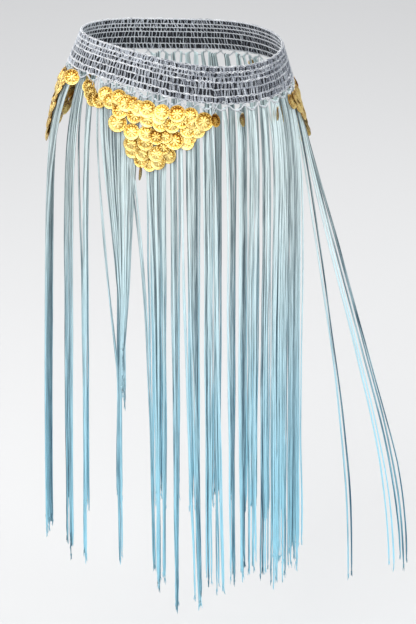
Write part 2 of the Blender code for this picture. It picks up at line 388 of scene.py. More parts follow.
def yarn_finish(name, colours, ply_length):
    """A matte yarn of two twisted plies, each stitch of its own tone."""
    look = Finish(name, Roughness=0.85, Sheen_Weight=0.25, Sheen_Roughness=0.5)
    round_it, along = look.yarn()
    plies = look.math("MULTIPLY", round_it, 2)
    lead = look.math("ADD", plies, look.math("DIVIDE", along, ply_length))
    twist = look.math("SINE", look.math("MULTIPLY", lead, 2 * pi))
    twist = look.math("MULTIPLY_ADD", twist, 0.5, 0.5)
    patches = look.noise(look.place(), scale=90.0)
    fuzz = look.noise(look.place(), scale=1500.0, detail=2.0)
    share = look.total(look.tone(), 0.55, patches, 0.45)
    share = look.total(share, 0.8, twist, 0.2)
    look.shade(Base_Color=look.ramp(share, (0.22, 0.70), colours))
    height = look.math("ADD", twist, look.math("MULTIPLY", fuzz, 0.7))
    look.bump(height, 0.4 * MM)
    return look.material


# Colours, from dark to light.
POST = ((0.07, 0.082, 0.11), (0.6, 0.64, 0.7))
RIDGE = ((0.19, 0.215, 0.26), (0.86, 0.875, 0.9))
CHAIN = ((0.33, 0.36, 0.4), (0.68, 0.705, 0.735))
# The ground's near black is painted shade, the dark seen through the band's slots.
SHADE_GROUND = ((0.004, 0.005, 0.007), (0.014, 0.016, 0.022))
CORD_TOP = ((0.045, 0.078, 0.092), (0.67, 0.79, 0.8))
CORD_END = ((0.016, 0.078, 0.135), (0.35, 0.71, 0.86))
GOLD = ((0.11, 0.036, 0.005), (0.56, 0.31, 0.048), (0.9, 0.7, 0.26))
CORD_RAMP = (0.33, 0.58)  # the shares of light at which a cord is dark and light
BLUER_FROM, BLUER_TO = 0.10, 0.72  # metres down the cords


def shade_ground_finish():
    """The band's near black ground: painted shade for the dark seen through its slots."""
    look = Finish("band_shade_ground", Roughness=0.95)
    patches = look.noise(look.place(), scale=400.0)
    look.shade(Base_Color=look.ramp(patches, (0.35, 0.65), SHADE_GROUND))
    look.bump(look.noise(look.place(), scale=900.0), 0.3 * MM)
    return look.material


def cord_finish():
    """Soft silky cord: fine lengthwise streaks, greyer at its top and bluer towards its end."""
    look = Finish("cord", Sheen_Weight=0.15, Sheen_Roughness=0.35, Specular_IOR_Level=0.45)
    round_it, along = look.yarn()
    tone = look.tone()

    def grain(across, down, apart, detail):
        """Noise drawn out along the cord, at another place for each cord's tone."""
        place = look.add(
            "CombineXYZ",
            X=look.math("MULTIPLY", round_it, across),
            Y=look.math("MULTIPLY", along, down),
            Z=look.math("MULTIPLY", tone, apart),
        )
        return look.noise(place.outputs[0], scale=1.0, detail=detail)

    streaks = grain(9.0, 14.0, 60.0, 4.0)
    fibres = grain(26.0, 60.0, 90.0, 2.0)
    share = look.total(streaks, 0.72, tone, 0.28)
    top, end = [look.ramp(share, CORD_RAMP, colours) for colours in (CORD_TOP, CORD_END)]
    smooth = {"interpolation_type": "SMOOTHSTEP"}
    fall = look.ranged(along, smooth, From_Min=BLUER_FROM, From_Max=BLUER_TO)
    look.shade(
        Base_Color=look.blend(fall, top, end),
        Roughness=look.ranged(fibres, To_Min=0.42, To_Max=0.75),
    )
    look.bump(look.math("ADD", streaks, fibres), 0.5 * MM)
    return look.material


def gold_finish():
    """Bright stamped brass, crinkled, and brown in its hollows."""
    look = Finish("gold", Metallic=1.0)
    place = look.place()
    speckles = look.noise(place, scale=640.0)
    dents = look.noise(place, scale=800.0)
    share = look.total(speckles, 0.5, look.tone(), 0.5)
    look.shade(
        Base_Color=look.ramp(share, (0.34, 0.46, 0.60), GOLD),
        Roughness=look.ranged(dents, To_Min=0.22, To_Max=0.46),
    )
    look.bump(dents, 0.5 * MM, strength=0.35)
    return look.material


# ---- The crocheted band ----

STITCHES = 4 * SCALLOPS
STITCH = np.arange(STITCHES)[:, None]
# Ridges of chain loops up the band, as shares of its height from its lower edge.
RIDGES = (0.03, 0.20, 0.40, 0.58, 0.71, 0.83, 0.975)
# How bold each ridge is, and how open the row of posts above it is, from the lowest up.
BOLDNESS = (1.15, 1.20, 0.75, 1.15, 0.65, 1.20, 0.95)
OPENNESS = (0.90, 1.85, 1.75, 1.35, 0.60, 0.50)
PAINTED_LIGHT_RIGHT = 0.38  # how much paler painted light makes the yarn towards the wearer's right
TIGHTER_LEFT = 0.45  # how much of the openness the wearer's left side loses
SEAM_ANGLE = radians(41)
SEAM_WIDTH = radians(3.5)
SEAM_DIP = 1.1 * MM
LOOP_OVERLAP = 0.12  # how far a chain loop runs into the next stitches
INNER_RADIUS = 0.85 * MM  # of the strands inside the ridges
CROSSING_RADIUS = 0.34 * MM  # of the strands that lie across the posts
TAIL_RADIUS = 0.55 * MM


def stitch_angle(stitch):
    """The angle of a stitch, counted along the band's lower edge from its front centre."""
    return angle_at(stitch / STITCHES * EDGE_LENGTH)


def band_up(share, angle):
    """The height up the band's wall of a share of it, with the dip where its ends join."""
    dip = SEAM_DIP * np.exp(-(((angle - SEAM_ANGLE + pi) % (2 * pi) - pi) / SEAM_WIDTH) ** 2)
    return (share - 0.5) * BAND_HEIGHT - dip * np.sin(pi * share)


def outward_at(angle):
    """The band wall's outward direction."""
    return band_point(angle, 0.0, MM) - band_point(angle, 0.0, -MM)


def sew(soup, angle, up, out, radius, sides, **options):
    """Adds tubes, or one, that follow the band's wall."""
    paths = band_point(angle, up, out)
    paths = paths.reshape(-1, *paths.shape[-2:])
    add_tubes(soup, paths, radius, sides, outward_at(angle), **options)


def stitch_values(middle, uneven):
    """A value for each stitch of a row, as a column."""
    return rng.normal(middle, uneven, (STITCHES, 1))


def stitch_tones(middle, uneven, angle):
    """A tone for each stitch of a row, lighter towards the wearer's right by painted light."""
    tones = middle - PAINTED_LIGHT_RIGHT * np.sin(angle[:, 0]) + rng.normal(0, uneven, STITCHES)
    return np.clip(tones, 0, 1)


def make_shade_ground(material):
    """The band's thin ground, a closed wall all round, dark with painted shade."""
    columns, rows, half_wall = 336, 10, 0.35 * MM
    angle = stitch_angle(np.arange(columns) * STITCHES / columns)[:, None]
    shares = np.linspace(0.015, 0.985, rows + 1)
    share = np.concatenate([shares, shares[::-1]])
    out = np.repeat([half_wall, -half_wall], rows + 1)
    points = band_point(angle, band_up(share, angle), out).reshape(-1, 3)
    faces = grid_quads(columns, len(share)) % len(points)
    soup = Soup()
    soup.add(points, faces, np.zeros((len(faces), 4, 2)), 0.5)
    shade_sheet = soup.make("band_shade_ground", material, "band")
    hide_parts("band")
    return shade_sheet


def make_ridges(name, shares, material):
    """Rows of interlocked chain loops outside, and a plain wavy strand inside each."""
    thirds = np.arange(STITCHES * 3) / 3
    t = np.linspace(-LOOP_OVERLAP, 1 + LOOP_OVERLAP, 7)
    bulge = np.sin(pi * np.clip(t, 0, 1)) ** 0.8
    soup = Soup()
    for share in shares:
        bold = BOLDNESS[RIDGES.index(share)]
        angle = stitch_angle(STITCH + t + stitch_values(0, 0.10))
        half_open = stitch_values(0.80, 0.22) * bold * MM
        lift = stitch_values(0, 0.30) * MM
        cant = stitch_values(0, 0.35) * MM
        thickness = (0.50 + 0.16 * bulge) * (0.6 + 0.4 * bold) * MM
        for side in (-1, 1):
            up = band_up(share, angle) + lift + cant * (t - 0.5) + side * half_open * bulge
            tone = stitch_tones(0.15 + 0.45 * bold, 0.28, angle)
            sew(soup, angle, up, (0.55 + 0.70 * t) * MM, thickness, 6, tone=tone)
        angle = stitch_angle(thirds)
        up = band_up(share, angle) + 0.5 * MM * np.sin(2 * pi * thirds)
        inside = (-1.0 + 0.2 * np.cos(2 * pi * thirds)) * MM
        sew(soup, angle, up, inside, INNER_RADIUS, 5, ring=True)
    return soup.make(name, material, "band")


def make_posts(material):
    """Between two ridges each stitch has a post of two strands twisted round each other."""
    on_left = np.clip(np.sin(stitch_angle(STITCH)), 0, 1)
    t = np.linspace(0, 1, 6)
    soup = Soup()
    for low, high, openness in zip(RIDGES, RIDGES[1:], OPENNESS):
        openness = openness * (1 - TIGHTER_LEFT * on_left)
        lean, shift = stitch_values(0.10, 0.26), stitch_values(0, 0.13)
        half_width = (0.235 - 0.045 * openness) * stitch_values(1, 0.22)
        start = rng.uniform(-0.45, 0.25, (STITCHES, 1)) * pi
        swing = rng.uniform(-0.3, 0.9, (STITCHES, 1)) * pi
        radius = (1.00 - 0.19 * openness + stitch_values(0, 0.09)) * MM
        for strand in (0, 1):
            phase = start + pi * strand + swing * t
            across = STITCH + 0.5 + shift + lean * (t - 0.5) + half_width * np.cos(phase)
            angle = stitch_angle(across)
            up = band_up(low + (high - low) * t, angle)
            out = (0.25 + 0.65 * np.sin(phase)) * MM
            sew(soup, angle, up, out, radius, 6, tone=stitch_tones(0.50, 0.30, angle))
        # A thin strand lies across a third of the stitches.
        crossing = rng.choice(STITCHES, STITCHES // 3, replace=False)[:, None]
        heel, toe = rng.uniform(-0.35, 0.35, (2, len(crossing), 1))
        angle = stitch_angle(crossing + heel + (toe - heel) * t)
        up = band_up(low + (high - low) * (0.08 + 0.84 * t), angle)
        sew(soup, angle, up, (0.9 + 0.3 * np.sin(pi * t)) * MM, CROSSING_RADIUS, 4, tone=0.95)
    return soup.make("band_posts", material, "band")


# The tails of thread left where the band's ends join, as points: the angle in degrees, and how
# far above the band's lower edge and out from its wall's middle, in mm.
TAILS = (
    ((38.6, -7.5, 2.2), (39.0, -5.0, 3.4), (39.8, -2.6, 3.2), (40.6, 0.4, 2.8), (41.6, 3.5, 2.2)),
    ((43.6, -1.0, 2.0), (44.6, 1.4, 3.2), (44.9, 4.0, 3.0), (43.8, 5.2, 2.9), (43.1, 3.2, 2.6)),
    ((38.4, -8.5, 2.4), (37.8, -11.0, 3.8), (37.4, -14.0, 4.4), (37.6, -17.5, 5.0)),
)


def make_seam_threads(material):
    """The tails of thread at the band's join."""
    soup = Soup()
    for tail in TAILS:
        fine = np.linspace(0, len(tail) - 1, 5 * len(tail))
        angle, up, out = [np.interp(fine, range(len(tail)), column) for column in zip(*tail)]
        sew(soup, radians(1) * angle, up * MM - BAND_HEIGHT / 2, out * MM, TAIL_RADIUS, 6, tone=0.8)
    return soup.make("seam_threads", material, "band")


# ---- The scalloped chain edge ----


def make_chain_edge(material):
    """Two strands twisted into a chain that hangs in arcs, with a knot at each joint."""
    samples, twists = 26, 7  # in each arc
    strand_radius, knot_radius = 0.95 * MM, 0.62 * MM
    soup = Soup()
    arcs = np.arange(SCALLOPS * samples) / samples
    run = arcs / SCALLOPS * EDGE_LENGTH
    sway = 0.5 * MM * np.sin(2 * pi * arcs / 5.0)
    angle, drop = angle_at(run), chain_drop(run)
    for strand in (0, 1):
        phase = 2 * pi * twists * arcs + pi * strand
        up = -BAND_HEIGHT / 2 - drop + 0.50 * MM * np.sin(phase)
        out = sway + 0.55 * MM * np.cos(phase)
        sew(soup, angle, up, out, strand_radius, 6, tone=0.6, ring=True)
    t = np.linspace(0, 2 * pi, 9)[:-1]
    for joint in range(SCALLOPS):
        at = joint / SCALLOPS * EDGE_LENGTH + rng.normal(0, 0.3) * MM
        for lift in (-0.9, 0.5):
            angle = angle_at(at + 1.5 * MM * np.cos(t))
            up = -BAND_HEIGHT / 2 - (1.2 + lift + 0.6 * np.sin(t)) * MM
            sew(soup, angle, up, 1.3 * MM * np.sin(t), knot_radius, 6, tone=0.7, ring=True)
    edge = soup.make("chain_edge", material, "edge")
    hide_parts("scallop_edge")
    return edge


# ---- The coins ----

# A side apron: the angle of its middle, which way along the edge leads away from the front, and
# its rows of coins. A row is how far it hangs below the band, its first and last coins' places
# along the edge, less than 0 being further forward, all in mm, and how many coins it has.
Apron = namedtuple("Apron", "middle_deg side rows")
SIDE_APRONS = {
    "coins_side_right": Apron(-91, -1, (
        (21, -74, 74, 10), (35, -68, 70, 9), (49, -62, 60, 8), (63, -57, 50, 7),
        (77, -53, 38, 6), (90, -50, 26, 5), (102, -46, 12, 4), (113, -42, -10, 3),
    )),
    "coins_side_left": Apron(121, 1, (
        (21, -97, 74, 12), (35, -76, 70, 10), (49, -59, 60, 8), (63, -46, 50, 6),
        (77, -38, 38, 5), (90, -28, 25, 4), (104, -10, 12, 2),
    )),
}
# Where the photo shows a coin: its middle in the photo's pixels, its size for an ordinary one
# of 1, and how far it is turned about its upright line. These are the front apron's.
CoinSpot = namedtuple("CoinSpot", "x_px y_px size turn_deg")
FRONT_COINS = [CoinSpot(*spot) for spot in (
    (88.6, 86.2, 0.92, 4), (90.2, 93.2, 0.96, 4), (93.4, 98.8, 0.98, 8),
    (99.2, 100.6, 0.98, 10), (105.4, 93.9, 0.98, 22), (110, 101.4, 1, 18),
    (118.8, 97.4, 1.02, 17), (132.8, 104.2, 0.96, 8), (126, 103.4, 1.12, 14),
    (139, 108.6, 1.05, 9), (147.3, 109.1, 1.14, 4), (162, 112, 1.02, 5),
    (177, 114.1, 1.12, -2), (190.6, 115.6, 1, -6), (204, 122, 1.2, 4),
    (120, 110.6, 1.08, 16), (134.6, 115.6, 1.04, 7), (147.6, 119.6, 1.05, 3),
    (159, 117.6, 0.95, -5), (160.6, 124, 1.06, 4), (172, 125.6, 1, 8),
    (182.2, 121.2, 0.98, -4), (192.2, 121.4, 1, 5), (117.8, 123, 1.22, 20),
    (131.5, 131.8, 1.08, 10), (146.2, 133.6, 1.05, -3), (156.4, 136.6, 1.04, 5),
    (165.4, 136.2, 0.95, -8), (187.6, 130.4, 1.04, 3), (197.4, 130.6, 1.02, -5),
    (131.2, 143.4, 1.04, 7), (145.8, 142.2, 1.12, 3), (174.6, 140.6, 1.22, -3),
    (189, 137.6, 0.98, 4), (163.6, 147.2, 0.98, 3), (187.2, 142.8, 0.94, -5),
    (132.8, 150.6, 1, 6), (142.6, 153.2, 1.06, -3), (156.2, 154.2, 1.04, 4),
    (168.5, 155.4, 1.06, -6), (141, 160.4, 0.98, 4), (158, 161.8, 1.04, -4),
    (149.7, 164.8, 0.92, 3),
)]
TOP_COINS = 15  # the first of these hang from the chain edge itself
HANGING_COIN = CoinSpot(140, 173, 0.95, 100)  # below the front apron, almost edge on
CORNER_COINS = {"coins_side_right": CoinSpot(71.7, 77, 1.04, 50)}  # the foremost one there
# The single coins' angles round the figure, and how far each is turned from edge on to the front.
SINGLE_COINS = {"coin_a": (38.0, 19), "coin_b": (51.6, -15), "coin_c": (70.6, -46)}

# The places on the fringe that a coin's place in the photo is looked up in.
SPOT_ANGLES, SPOT_BELOWS = np.meshgrid(
    np.radians(np.arange(-75, 45, 0.25)), np.arange(0, 140, 0.75) * MM, indexing="ij"
)
AMONG_CORDS = 6.5 * MM  # how far the coin below the front apron is pressed in
OVERLAP_STEP = 0.35 * MM  # how far a coin stands in front of the one that it overlaps
FRINGE_CLEAR = 2.0 * MM  # from the middle of the fringe's wall to its cords' outsides
LARGE_COIN = 1.15  # an ordinary coin of the aprons, for a coin of the CAD's size
COIN_SEGMENTS = 32
COIN_RINGS = (0.10, 0.24, 0.37, 0.48, 0.57, 0.65, 0.71, 0.77, 0.83, 0.88, 0.925, 0.955, 1.0)
COIN_THICKNESS = 0.7 * MM
ROSETTE_HEIGHT = 0.65 * MM
BEAD_HEIGHT = 0.55 * MM
RIM_HEIGHT = 0.50 * MM
BEADS, PETALS = 16, 8
# Where the relief is, as shares of a coin's radius; each ring has its middle and its width.
PETAL_REACH, BOSS_WIDTH = 0.62, 0.16
BEAD_RING, RIM_RING = (0.77, 0.055), (0.93, 0.045)
HOLE_AT = 0.92  # where a coin's hole is, as a share of its radius
LINK_RADIUS = 1.5 * MM
LINK_WIRE = 0.28 * MM
THREAD_RADIUS = 0.5 * MM
SHINGLE_TILT = radians(8.0)
# The crinkles across a coin: half waves in its radius, and how deep in mm.
CRINKLES = ((1.1, 0.11), (1.9, 0.08), (3.1, 0.05), (4.3, 0.035), (5.2, 0.03))


def coin_shape():
    """One coin in its own plane: a beaded rim round a rosette, stamped through both faces."""
    n, last = COIN_SEGMENTS, len(COIN_RINGS) - 1
    theta = 2 * pi * np.arange(n) / n
    rings = np.array(COIN_RINGS)[:, None] * np.ones(n)

    def ring_at(middle, width):
        return np.exp(-(((rings - middle) / width) ** 2))

    petals = np.sin(pi * np.clip(rings / PETAL_REACH, 0, 1)) ** 0.7
    petals = petals * (0.5 + 0.5 * np.cos(PETALS * theta))
    beads = ring_at(*BEAD_RING) * (0.5 + 0.5 * np.cos(BEADS * theta))
    rosette = ROSETTE_HEIGHT * np.maximum(petals, ring_at(0.0, BOSS_WIDTH))
    relief = rosette + BEAD_HEIGHT * beads + RIM_HEIGHT * ring_at(*RIM_RING)
    x = COIN_RADIUS * rings * np.cos(theta)
    y = COIN_RADIUS * rings * np.sin(theta)
    edge = rings > 0.99
    half = np.where(edge, 0.3, 0.5) * COIN_THICKNESS
    front = np.stack([x, y, half + relief], axis=-1).reshape(-1, 3)
    back = np.stack([x, y, -half + 0.6 * relief], axis=-1).reshape(-1, 3)
    top = 0.5 * COIN_THICKNESS + ROSETTE_HEIGHT
    middle = np.array([[0, 0, top], [0, 0, top - COIN_THICKNESS]])
    points = np.concatenate([front, back, middle])
    # Painted shade darkens the rim all round, as the shadow under a coin's edge, and the upper
    # part, under other coins; a painted highlight brightens the lower part.
    above = rings * np.sin(theta)
    painted_shade = 3.0 * edge + 0.5 * np.clip(above - 0.1, 0, 1)
    painted_highlight = 0.7 * np.clip(-above - 0.1, 0, 1)
    height = (np.clip(relief / RIM_HEIGHT, 0, 1) + painted_highlight - painted_shade).ravel()
    relief_and_light = np.concatenate([height, height, [1, 1]])
    back_at = len(front)
    face = grid_quads(last, n)
    rim = np.arange(n) + last * n
    beside = np.roll(rim, -1)
    wall = np.stack([rim, rim + back_at, beside + back_at, beside], axis=1)
    quads = np.concatenate([face, face[:, FLIPPED] + back_at, wall])
    fans = [(2 * back_at, i, (i + 1) % n) for i in range(n)]
    fans += [(2 * back_at + 1, (i + 1) % n + back_at, i + back_at) for i in range(n)]
    return points, relief_and_light, quads, np.array(fans)


COIN_POINTS, COIN_RELIEF_AND_LIGHT, COIN_QUADS, COIN_TRIANGLES = coin_shape()


def turned(vector, axis, angle):
    """vector turned about a unit axis."""
    return (vector * cos(angle) + np.cross(axis, vector) * sin(angle)
            + axis * np.dot(axis, vector) * (1 - cos(angle)))


def add_coin(soup, centre, right, up, size, age):
    """Adds a crinkled coin, facing along right x up, and its link, whose top it returns."""
    right = unit(right)
    up = unit(up - right * np.dot(right, up))
    normal = np.cross(right, up)
    x, y, z = (COIN_POINTS * [size, size, 1]).T
    radius = COIN_RADIUS * size
    dents = np.zeros(len(x))
    for wave, depth_mm in CRINKLES:
        heading, phase = rng.uniform(0, 2 * pi, 2)
        run = (x * cos(heading) + y * sin(heading)) / radius
        dents += rng.normal(0, depth_mm) * MM * np.sin(wave * pi * run + phase)
    bend = rng.normal(0, 0.25) * MM
    z = z + dents + bend * (x**2 - y**2) / radius**2
    points = centre + x[:, None] * right + y[:, None] * up + z[:, None] * normal
    flat_uv = COIN_POINTS[:, :2] / (2 * COIN_RADIUS) + 0.5
    # Each coin's tone carries its relief, its painted shade and painted highlight, and its age.
    tones = np.clip(0.10 + 0.50 * COIN_RELIEF_AND_LIGHT + 0.36 * age, 0, 1)
    soup.add(points, COIN_QUADS, flat_uv[COIN_QUADS], tones)
    soup.add(np.zeros((0, 3)), COIN_TRIANGLES - len(points), flat_uv[COIN_TRIANGLES], 0.0)
    ring = 2 * pi * np.arange(10) / 10
    hole = centre + HOLE_AT * radius * up
    link = hole + LINK_RADIUS * (np.cos(ring)[:, None] * up + np.sin(ring)[:, None] * normal)
    add_tubes(soup, link[None], LINK_WIRE, 5, right, tone=0.7, ring=True)
    return hole + LINK_RADIUS * up


def add_thread(threads, points, outward):
    """Adds a thread through points."""
    add_tubes(threads, np.stack(points)[None], THREAD_RADIUS, 5, outward, tone=0.7)


def hang_coin(soup, threads, angle, below, out, size, turn):
    """Hangs a coin on the fringe; threads, if given, gets the thread up to the chain edge."""
    centre = hang_point(angle, angle, below, out)
    up = unit(centre - hang_point(angle, angle, below + MM, out))
    along = unit(hang_point(angle + STEP, angle + STEP, below, out) - centre)
    up = turned(up, along, -rng.normal(SHINGLE_TILT, radians(2.5)))
    right = turned(along, up, turn + rng.normal(0, radians(3)))
    normal = unit(np.cross(right, up))
    roll = rng.uniform(-0.45, 0.45)
    right, up = turned(right, normal, roll), turned(up, normal, roll)
    age = np.clip(rng.normal(0.6, 0.25), 0, 1)
    link = add_coin(soup, centre, right, up, size, age)
    if threads is not None:
        drop = chain_drop(run_at(angle))
        knot = edge_point(angle, drop, 1.2 * MM)
        knot_back = edge_point(angle, drop - 0.6 * MM, -1.6 * MM)
        middle = (knot + link) / 2 + 0.4 * MM * normal
        add_thread(threads, [knot_back, knot, middle, link], along)


def photo_pixel(points):
    """Where points fall in the photo, in its pixels."""
    back, across, aim = map(np.array, camera_frame())
    from_aim = points - aim
    zoom = PHOTO_HEIGHT * CAMERA_LENS / SENSOR_HEIGHT / (CAMERA_DISTANCE - from_aim @ back)
    x = PHOTO_WIDTH / 2 + from_aim @ across * zoom
    y = PHOTO_HEIGHT / 2 - from_aim @ np.cross(back, across) * zoom
    return x, y


def hang_coin_at(soup, threads, spot, extra_out):
    """Hangs a coin on the fringe where the photo shows it."""
    turn = radians(spot.turn_deg)
    size = LARGE_COIN * spot.size
    clear = FRINGE_CLEAR + COIN_RADIUS * size * abs(sin(turn))
    out = max(APRON_OUT, clear) + extra_out
    x, y = photo_pixel(hang_point(SPOT_ANGLES, SPOT_ANGLES, SPOT_BELOWS, out))
    nearest = np.argmin((x - spot.x_px) ** 2 + (y - spot.y_px) ** 2)
    angle, below = SPOT_ANGLES.flat[nearest], SPOT_BELOWS.flat[nearest]
    hang_coin(soup, threads, angle, below, out, size, turn)


def make_front_apron(gold, yarn):
    """Coins that overlap as scales do, the upper ones in front of the lower ones."""
    soup, threads = Soup(), Soup()
    for i, spot in enumerate(FRONT_COINS):
        hung = threads if i < TOP_COINS else None
        hang_coin_at(soup, hung, spot, OVERLAP_STEP * (i % 3))
    hang_coin_at(soup, threads, HANGING_COIN, -AMONG_CORDS)
    made = soup.make("coins_front_shown", gold, "coins")
    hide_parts("coins_front")
    return made, threads.make("coins_front_threads", yarn, "edge")


def make_side_apron(name, gold, yarn):
    """A side apron, which the photo shows only along its edge, in rows."""
    soup, threads = Soup(), Soup()
    apron = SIDE_APRONS[name]
    start = run_at(radians(apron.middle_deg))
    for depth, (row_mm, first_mm, last_mm, coins) in enumerate(apron.rows):
        for i, run_mm in enumerate(np.linspace(first_mm, last_mm, coins)):
            run = (run_mm * apron.side + rng.normal(0, 1.0)) * MM
            below = (row_mm + rng.normal(0, 1.3)) * MM
            out = APRON_OUT + OVERLAP_STEP * ((i + depth) % 3)
            hung = threads if depth == 0 else None
            size = LARGE_COIN * rng.uniform(0.92, 1.06)
            turn = rng.normal(0, radians(5))
            hang_coin(soup, hung, angle_at(start + run), below, out, size, turn)
    if name in CORNER_COINS:
        hang_coin_at(soup, threads, CORNER_COINS[name], 0.0)
    made = soup.make(name + "_shown", gold, "coins")
    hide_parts(name)
    return made, threads.make(name + "_threads", yarn, "edge")


def make_single_coin(name, gold, yarn):
    """One coin hung from the chain edge by a thread, almost edge on to the front."""
    soup, threads = Soup(), Soup()
    angle, turn = np.radians(SINGLE_COINS[name])
    out = FRINGE_WALL / 2 + 0.3 * MM + COIN_RADIUS
    below = SCALLOP_DROP + CHAIN_RADIUS + COIN_RADIUS
    centre = hang_point(angle, angle, below, out)
    radial = np.array([sin(angle), -cos(angle), 0.0])
    up = np.array([0.0, 0.0, 1.0])
    link = add_coin(soup, centre, turned(radial, up, turn), up, 1.0, 0.1)
    knot = edge_point(angle, chain_drop(run_at(angle)))
    points = [knot + 0.8 * MM * up, knot + 1.5 * MM * radial, (knot + link) / 2, link]
    add_thread(threads, points, np.cross(up, radial))
    made = soup.make(name + "_shown", gold, "coins")
    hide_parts(name)
    return made, threads.make(name + "_thread", yarn, "edge")


# ---- The fringe ----

CORD_RADIUS = 1.45 * MM
CORD_FLAT = 0.78  # a cord's depth for a width of 1
SWELL = (0.88, 1.12)  # the thinnest and thickest cord, for an ordinary one of 1
CORD_SIDES = 8
# Where a cord's samples are along it, closer together towards its end.
CORD_STEPS = np.append(np.linspace(0, 0.84, 30, endpoint=False), np.linspace(0.84, 1, 14))
CRIMPED_PART = 0.90  # how far along a cord it starts to crimp
CROWDED = 1.7 * CORD_RADIUS  # the width that a cord needs before its bunch goes into layers
# The lengths in metres of a cord's two slow waves and its end's crimp, and then their heights.
WAVES = ((0.13, 0.19), (0.26, 0.42), (0.022, 0.040))
WAVE_MM, SLOW_WAVE_MM, CRIMP_MM = 0.20, 0.40, 0.70
CORD_INSET = 1.6 * MM  # from a group's edge to the middle of its outermost cord
FRAYS = 4  # thin strands at each cord's end
FRAY_MM = (5, 11)  # their lengths
TOP_UNEVEN = 0.25  # how unevenly the cords are tied
TIE_FADE = 30 * MM  # how soon a cord leaves the place where it is tied
# A cord's top, hitched over the chain from inside: outward and upward of the chain, in mm.
HITCH = ((0.3, 1.7), (-1.3, 1.6), (-2.2, 0.0), (-1.8, -2.2), (-0.7, -3.8))

# Cords that hang together: their angles in degrees at the edge, at MID_DROP and at the end, the
# range of their lengths, how unevenly they hang, how far down they reach their last angles (0 is
# at their ends), and how many cords deep they get where they crowd.
Cords = namedtuple("Cords", """
    count top_from top_to mid_from mid_to low_from low_to
    shortest_mm longest_mm uneven settled_mm most_layers
""", defaults=(715, 755, 0.7, 0, 4.5))
# The groups of each bunch, by its place.
FRINGE = {
    "side_right": [(26, -90, -60, -90, -72, -90, -74)],
    "right_a": [(6, -54.8, -47.7, -54.5, -48.9, -54.6, -50, 725, 755)],
    "right_b": [
        (5, -43.3, -40, -42.8, -40.1, -44.2, -41.8, 735, 755),
        (1, -48, -48, -43.5, -43.5, -43.6, -43.6, 740, 745),
    ],
    "fan": [
        (2, -38.9, -36.9, -28, -26.6, -22.3, -21.1, 735, 745, 0.1, 440),
        (28, -37.6, -6.9, -21.8, -14.2, -18.9, -17.6, 375, 480, 0.8, 390, 2.2),
        (1, -24, -24, -19, -19, -20.4, -20.4, 720, 730, 0.3, 430),
    ],
    "front_a": [
        (2, -19.5, -15.6, -5.2, -2.5, 0.7, 2.8, 725, 735, 0.1),
        (8, -6.3, 5.8, 1.4, 6.3, 3.4, 5.6, 735, 765),
    ],
    "front_b": [(3, 6.9, 10.9, 7.6, 9.9, 6.6, 9.2, 725, 750, 0.3)],
    "front_c": [(5, 12.2, 17.2, 13.1, 17.3, 14.8, 17.6, 770, 795)],
    "front_d": [
        (2, 18.3, 20.3, 20.3, 22, 26.2, 27.9, 755, 770, 0.2),
        (7, 21.5, 29.2, 23.7, 28.8, 28.5, 31.1, 745, 775),
    ],
    "front_e": [(5, 31.5, 36, 31.5, 36.4, 32.9, 36.5, 715, 738)],
    "front_f": [(4, 36.8, 38.7, 36.9, 40, 38.4, 43.5, 725, 752, 0.4)],
    "front_g": [(5, 44.1, 48.9, 43.9, 47.5, 45.5, 49.1, 715, 742)],
    "left_a": [(5, 50.7, 55.3, 49.5, 53.9, 51, 54.4, 700, 728)],
    "left_b": [(5, 56.3, 61.5, 54.6, 59.4, 55.2, 59.8, 695, 722)],
    "left_c": [(5, 62.8, 67.7, 61.4, 65.4, 61.4, 66.3, 715, 742)],
    "left_d": [(14, 69.2, 79.5, 66.2, 76.8, 67, 77, 700, 760, 1)],
    "left_e": [(13, 80.1, 91, 77.4, 88.2, 77.6, 87.7, 695, 752, 1)],
    "flared_a": [(2, 91.8, 95, 92.1, 93.1, 92.2, 92.8, 760, 772, 0.1)],
    "flared_b": [(5, 96.5, 108, 97.3, 101.8, 98.8, 103.4, 746, 766, 0.35)],
    "back_a": [(9, 119, 129, 119, 128.5, 119, 128)],
    "back_b": [(7, 130.5, 138.5, 130.5, 138, 130.5, 137.5)],
    "back_c": [(5, 140.5, 146, 140, 146, 140, 146)],
    "back_d": [(5, 148, 153.5, 148, 153.5, 148.5, 153.5)],
    "back_e": [(5, 155.5, 160.5, 155.5, 160.5, 155.5, 160.5)],
    "back_f": [(5, 163, 168, 163.5, 167.5, 163.5, 167.5)],
    "back_g": [(11, 171.5, 183.5, 172.5, 183, 173, 182.5)],
    "back_h": [(8, 186, 195, 186.5, 194.5, 187, 194)],
    "back_i": [(5, 197.5, 204, 198.5, 203, 199, 203)],
    "back_j": [(11, 206, 218, 206, 217, 206.5, 216)],
    "back_k": [(10, 223.5, 240.5, 229, 232.6, 230, 232.4, 700, 755, 0.7, 0, 2)],
    "back_l": [(4, 245.5, 249, 245.5, 248.5, 245.5, 248.5)],
    "back_m": [(6, 252, 258.5, 254, 258, 254, 258)],
}


def spread(count, first_deg, last_deg, below, uneven):
    """count angles from first to last, in order but unevenly spaced, and the metres they span."""
    first, last = radians(first_deg), radians(last_deg)
    if count == 1:
        return np.array([[first]]), 2 * CORD_RADIUS
    scale = float(side_scale(np.array((first + last) / 2), below))
    inset = min(CORD_INSET / scale, (last - first) * 0.42)
    first, last = first + inset, last - inset
    places = (np.arange(count) + rng.uniform(-uneven, uneven, count)) / (count - 1)
    angles = first + (last - first) * np.clip(places, 0, 1)
    return angles[:, None], (last - first) * scale + 2 * CORD_RADIUS


